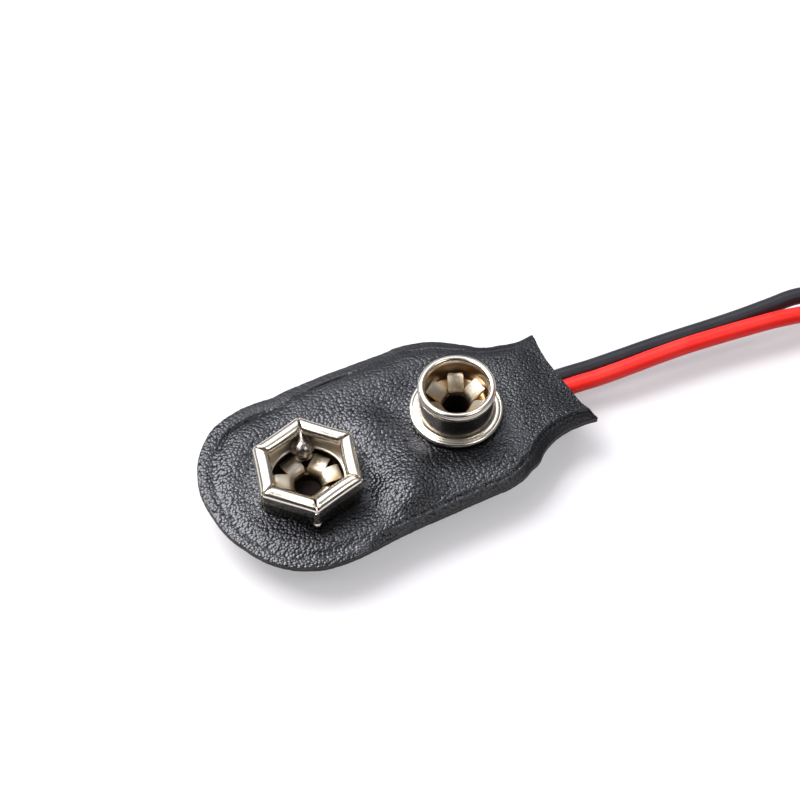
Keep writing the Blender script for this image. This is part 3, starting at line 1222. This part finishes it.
class SNAP_OT_stud(bpy.types.Operator):
    """Model the round stud with its rolled flange and rim"""
    bl_idname = "battery_snap.stud"
    bl_label = "Stud"

    def execute(self, context):
        c = settings().contacts
        rim, neck, bore, flange = c.rim / 2, c.neck / 2, c.bore / 2, c.flange / 2
        roll, height, floor = 0.2, c.stud_height, c.stud_floor
        turn = (rim - bore) / 2
        land = height - turn
        hole = c.eyelet_bore / 2 + c.metal + 0.15
        profile = [(hole, floor - c.metal), (hole, floor), (bore - 0.3, floor)]
        profile += arc(bore - 0.2, floor + 0.2, 0.2, -90, 0, 5)
        profile += [(bore, z) for z in np.linspace(floor + 0.4, land - 0.15, 6)]
        inside = len(profile) - 1
        profile += [(bore + 0.005, land - 0.1), (bore + 0.05, land - 0.03), (bore + 0.06, land + 0.02)]
        profile += arc(rim - turn, land, turn - 0.02, 170, 20, 14)
        profile += [(rim - 0.03, land + 0.03), (rim - 0.045, land - 0.01), (rim - 0.03, land - 0.05),
                    (rim - 0.006, land - 0.08), (rim, land - 0.13), (rim, land - 0.28), (rim - 0.03, land - 0.36),
                    (rim - 0.1, land - 0.43)]
        foot = neck + 0.24
        side = len(profile)
        profile += [(neck + 0.09, land - 0.48), (neck + 0.06, land - 0.56)]
        profile += [(neck + 0.06 + (foot - neck - 0.06) * t, land - 0.56 + (2 * roll + 0.09 - land + 0.56) * t)
                    for t in np.linspace(0, 1, 7)[1:]]
        profile += arc(foot + 0.08, 2 * roll + 0.08, 0.08, 186, 266, 5)
        profile += [(flange - 0.36, 2 * roll - 0.01), (flange - 0.32, 2 * roll - 0.03), (flange - 0.28, 2 * roll),
                    (flange - 0.23, 2 * roll + 0.03)]
        profile += arc(flange - roll - 0.01, roll + 0.03, roll, 85, -90, 12)
        profile += [(bore + 0.1, 0.03), (bore, 0.1), (bore, floor - c.metal)]
        flags = [1 if 0 < j <= inside else 2 if side <= j < side + 8 else 0 for j in range(len(profile))]
        piece = tube_of("Round_stud", profile, 128, contact_frame(1), flags)
        paint(piece, finish_of("Nickel plate", nickel, "Nickel plate", 0.19), finish_of("Bronzed inside", bronzed),
              finish_of("Old nickel", nickel, "Old nickel", 0.15, (0.25, 0.22, 0.19), 0.4))
        settle(piece)
        smooth(piece, 50)
        dress(piece, "nickel")
        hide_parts("round_stud")
        return {"FINISHED"}


class SNAP_OT_eyelets(bpy.types.Operator):
    """Model the two eyelets with their split and turned-over petals"""
    bl_idname = "battery_snap.eyelets"
    bl_label = "Eyelets"

    def execute(self, context):
        for name, node_name, side, rim, slope, reach, width, turns in (
                ("Socket_eyelet", "socket_eyelet", -1, -0.36, 13.0, 1.1, 1.35, (-10, 34, 103, 154, 222, 285)),
                ("Stud_eyelet", "stud_eyelet", 1, 1.12, 42.0, 1.15, 1.3, (3, 62, 124, 184, 242, 303))):
            pieces = [self.barrel(side, rim - 0.5)]
            pieces += [self.petal(side, turn, rim, slope + 4 * math.sin(2.3 * k), reach, width, k)
                       for k, turn in enumerate(turns)]
            for piece in pieces:
                paint(piece, finish_of("Plated brass", brass), finish_of("Bare brass edge", brass_edge),
                      finish_of("Tarnish", tarnish))
            piece = join(name, pieces)
            smooth(piece, 42)
            dress(piece, "brass")
            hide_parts(node_name)
        return {"FINISHED"}

    def barrel(self, side, rim):
        c = settings().contacts
        bore, wall = c.eyelet_bore / 2, c.eyelet_bore / 2 + c.metal
        foot = 2.05 - c.metal - settings().pad.top
        profile = [(bore + 0.06, rim), (bore, rim - 0.1), (bore, foot + 0.45), (0.5, foot + 0.3), (0.0, foot + 0.28),
                   (0.0, foot), (2.15, foot), (2.2, foot + 0.06), (2.2, foot + c.metal - 0.04),
                   (wall, foot + c.metal - 0.02), (wall, rim - 0.06), (wall - 0.06, rim)]
        piece = tube_of("barrel", profile, 64, contact_frame(side), [2] * 5 + [0] * (len(profile) - 5))
        settle(piece)
        return piece

    def petal(self, side, turn, rim, slope, reach, width, k):
        """A tongue of the barrel's wall, bent over its edge and out."""
        c = settings().contacts
        to_pad = contact_frame(side, turn)
        thick, start, bend = 0.22, c.eyelet_bore / 2 + 0.11, 0.46
        low = rim - bend * math.cos(math.radians(slope))
        line = [(start, z, 90.0) for z in np.linspace(low - 0.25, low, 4)[:-1]]
        line += [(x, z, 90 - turned) for (x, z), turned in
                 zip(arc(start + bend, low, bend, 180, 90 + slope, 10), np.linspace(0, 90 - slope, 11))]
        p, direction, steps = np.array(line[-1][:2]), slope, 14
        for j in range(steps):
            direction -= 1.2 + 0.4 * math.sin(k)
            p = p + reach / steps * np.array([math.cos(math.radians(direction)), math.sin(math.radians(direction))])
            line.append((p[0], p[1], direction))
        line = np.array(line)
        half, t, b = width / 2 * (1 + 0.05 * math.sin(4.1 * k)), thick / 2, 0.035
        section = [(-half + b, -t), (half - b, -t), (half, -t + b), (half, t - b), (half - b, t), (-half + b, t),
                   (-half, t - b), (-half, -t + b)]
        fine, edges = [], []
        for j, (p0, p1) in enumerate(zip(section, section[1:] + section[:1])):
            parts = 8 if j in (0, 4) else 1
            edges += [0 if j in (0, 4) else 1] * parts
            fine += [tuple(np.array(p0) + (np.array(p1) - np.array(p0)) * i / parts) for i in range(parts)]
        section, count, last = np.array(fine), len(fine), len(line) - 1

        def put(u, v):
            j = np.rint(v * count).astype(int) % count
            row = np.rint(u * last).astype(int)
            a = np.radians(line[row, 2])
            limit = line[row, 0] * math.tan(math.radians(27.0)) - 0.02
            y = np.clip(section[j, 0], -limit, limit)
            tip = np.clip((row - last + 3) / 3, 0, 1) ** 2
            y = y * (1 - 0.10 * tip)
            lift = section[j, 1] * (1 - 0.35 * tip) + 0.09 * (y / half) ** 2
            return to_pad(line[row, 0] - np.sin(a) * lift, y, line[row, 1] + np.cos(a) * lift)
        piece = mapped_grid("petal", last, count, put, flags=edges)
        cap_ends(piece, 1)
        return piece


# Coil tie and tips

class SNAP_OT_tips(bpy.types.Operator):
    """Model the tinned strands at the free ends of the leads"""
    bl_idname = "battery_snap.tips"
    bl_label = "Tips"

    def execute(self, context):
        for name, z, leave in (("Red_tip", RED_LEVEL, RED_LEAVES),
                               ("Black_tip", BLACK_LEVEL, BLACK_LEAVES)):
            bend, way = lead_end(z, leave)
            strands = [self.strand(bend[-1], way, k) for k in range(7)]
            piece = join(name, strands)
            smooth(piece, 60)
            dress(piece, "tinned", finish_of("Tinned copper", tinned))
            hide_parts(name.lower())
        return {"FINISHED"}

    def strand(self, start, way, k):
        leads = settings().leads
        radius = leads.strand / 6
        spread = 0.0 if k == 0 else 2 * radius
        side, up = np.array(way.cross(Vector((0, 0, 1)))), np.array((0.0, 0.0, 1.0))
        steps, sides = 28, 10
        origin, along = np.array(start), np.array(way)
        end = leads.tip - 0.12 * (k % 3)

        def put(u, v):
            s = -0.3 + u * (end + 0.3)
            a = math.radians(60 * k) + 2.2 * s
            centre = origin + s[:, None] * along + spread * (np.cos(a)[:, None] * side + np.sin(a)[:, None] * up)
            b = 2 * math.pi * v
            return centre + radius * (np.cos(b)[:, None] * side + np.sin(b)[:, None] * up)
        piece = mapped_grid("strand", steps, sides, put)
        cap_ends(piece)
        return piece


class SNAP_OT_tie(bpy.types.Operator):
    """Model the paper tie round the coil and its twisted ends"""
    bl_idname = "battery_snap.tie"
    bl_label = "Coil tie"

    def execute(self, context):
        piece = join("Coil_tie", [self.loop(), self.twist(0.0), self.twist(math.pi)])
        smooth(piece, 45)
        dress(piece, "paper_tie", finish_of("Tie paper", paper))
        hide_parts("coil_tie")
        return {"FINISHED"}

    def to_pad(self, r, t, z):
        leads = settings().leads
        a = math.radians(leads.tie_turn)
        return np.stack([leads.coil[0] + r * math.cos(a) - t * math.sin(a),
                         leads.coil[1] + r * math.sin(a) + t * math.cos(a), z], axis=1)

    def bounds(self):
        leads = settings().leads
        inside = COIL_INSIDE - leads.diameter / 2 - 0.05
        return math.sqrt(inside ** 2 - (leads.tie_width / 2) ** 2), leads.outer + leads.diameter / 2

    def loop(self):
        leads = settings().leads
        low, high = self.bounds()
        height, corner, t = 2 * leads.diameter + 2 * leads.tie, 0.5, leads.tie
        low, high = low - t + 0.02, high + t + 0.03
        outside = (arc(high - corner, corner, corner, -90, 0, 6) + arc(high - corner, height - corner, corner, 0, 90, 6)
                   + arc(low + corner, height - corner, corner, 90, 180, 6)
                   + arc(low + corner, corner, corner, 180, 270, 6))
        outside = polyline(np.array(outside + outside[:1]), np.linspace(0, 1, 97))[:-1]
        tangent = np.roll(outside, -1, axis=0) - np.roll(outside, 1, axis=0)
        tangent /= np.linalg.norm(tangent, axis=1)[:, None]
        normal = np.stack([tangent[:, 1], -tangent[:, 0]], axis=1)
        w = leads.tie_width / 2
        section = [(-w, 0.03), (-w + 0.05, 0.0)] + [(s, 0.0) for s in np.linspace(-0.7, 0.7, 5) * w]
        section += [(0.1, -0.02), (w - 0.05, 0.0), (w, 0.03), (w, t - 0.08), (w - 0.05, t - 0.05), (0.0, t - 0.05),
                    (-w + 0.05, t - 0.05), (-w, t - 0.08)]
        section = np.array(sorted(section[:9]) + section[9:])
        count = len(section)

        def put(u, v):
            k = np.rint(u * len(outside)).astype(int) % len(outside)
            j = np.rint(v * count).astype(int) % count
            p = outside[k] - normal[k] * section[j, 1:]
            crumple = 0.03 * np.sin(5.0 * u * 2 * math.pi + section[j, 0] * 1.7)
            return self.to_pad(p[:, 0], section[j, 0] + crumple, np.maximum(p[:, 1], 0.0))
        piece = mapped_grid("loop", len(outside), count, put)
        settle(piece)
        return piece

    def twist(self, phase):
        start, reach = self.bounds()[1] + settings().leads.tie - 0.05, 4.8
        section = np.array([(-0.55, -0.05), (-0.5, -0.09), (0.5, -0.09), (0.55, -0.05), (0.55, 0.05), (0.5, 0.09),
                            (-0.5, 0.09), (-0.55, 0.05)])
        count = len(section)

        def put(u, v):
            j = np.rint(v * count).astype(int) % count
            a = phase + u * 3.2 * math.pi
            wide, thick = section[j, 0], section[j, 1] + 0.12
            t = wide * np.cos(a) - thick * np.sin(a)
            z = wide * np.sin(a) + thick * np.cos(a)
            return self.to_pad(start + u * reach, t, np.maximum(0.62 + z * 0.95, 0.0))
        piece = mapped_grid("twist", 60, count, put)
        cap_ends(piece)
        return piece


class SNAP_OT_inside(bpy.types.Operator):
    """Finish the fibre strip and the solder joints inside the pad"""
    bl_idname = "battery_snap.inside"
    bl_label = "Inside"

    def execute(self, context):
        for name, made in (("base_plate", finish_of("Fibre board", fibre)),
                           ("red_joint", finish_of("Tinned copper", tinned)),
                           ("black_joint", finish_of("Tinned copper", tinned))):
            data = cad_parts[name].data
            data.materials.clear()
            data.materials.append(made)
        return {"FINISHED"}


# Add-on

class SnapSettings(bpy.types.PropertyGroup):
    """All sizes and colours of the snap"""
    pad: PointerProperty(type=SnapPad, name="Pad", description="Sizes of the pad")
    contacts: PointerProperty(type=SnapContacts, name="Contacts", description="Sizes of the contacts")
    leads: PointerProperty(type=SnapLeads, name="Leads", description="Sizes of the leads")
    finish: PointerProperty(type=SnapFinish, name="Finish", description="Colours of the finishes")


STEPS = ("stage", "leads", "pad", "socket", "stud", "eyelets", "tips", "tie", "declare_leads", "inside")


class SNAP_PT_panel(bpy.types.Panel):
    """The snap's operators, sizes and colours"""
    bl_idname = "SNAP_PT_panel"
    bl_label = "Battery snap"
    bl_space_type = "VIEW_3D"
    bl_region_type = "UI"
    bl_category = "Battery snap"

    def draw(self, context):
        for step in STEPS:
            self.layout.operator("battery_snap." + step)
        chosen = context.scene.battery_snap
        for group in (chosen.pad, chosen.contacts, chosen.leads, chosen.finish):
            box = self.layout.box()
            for key in group.__annotations__:
                box.prop(group, key)


CLASSES = (SnapPad, SnapContacts, SnapLeads, SnapFinish, SnapSettings, SNAP_OT_stage, SNAP_OT_leads, SNAP_OT_pad,
           SNAP_OT_socket, SNAP_OT_stud, SNAP_OT_eyelets, SNAP_OT_tips, SNAP_OT_tie, SNAP_OT_declare_leads,
           SNAP_OT_inside, SNAP_PT_panel)


def register():
    for made in CLASSES:
        bpy.utils.register_class(made)
    bpy.types.Scene.battery_snap = PointerProperty(type=SnapSettings)


def unregister():
    del bpy.types.Scene.battery_snap
    for made in reversed(CLASSES):
        bpy.utils.unregister_class(made)


def main():
    register()
    for step in STEPS:
        getattr(bpy.ops.battery_snap, step)()
    bpy.context.view_layer.update()


if __name__ == "__main__":
    main()
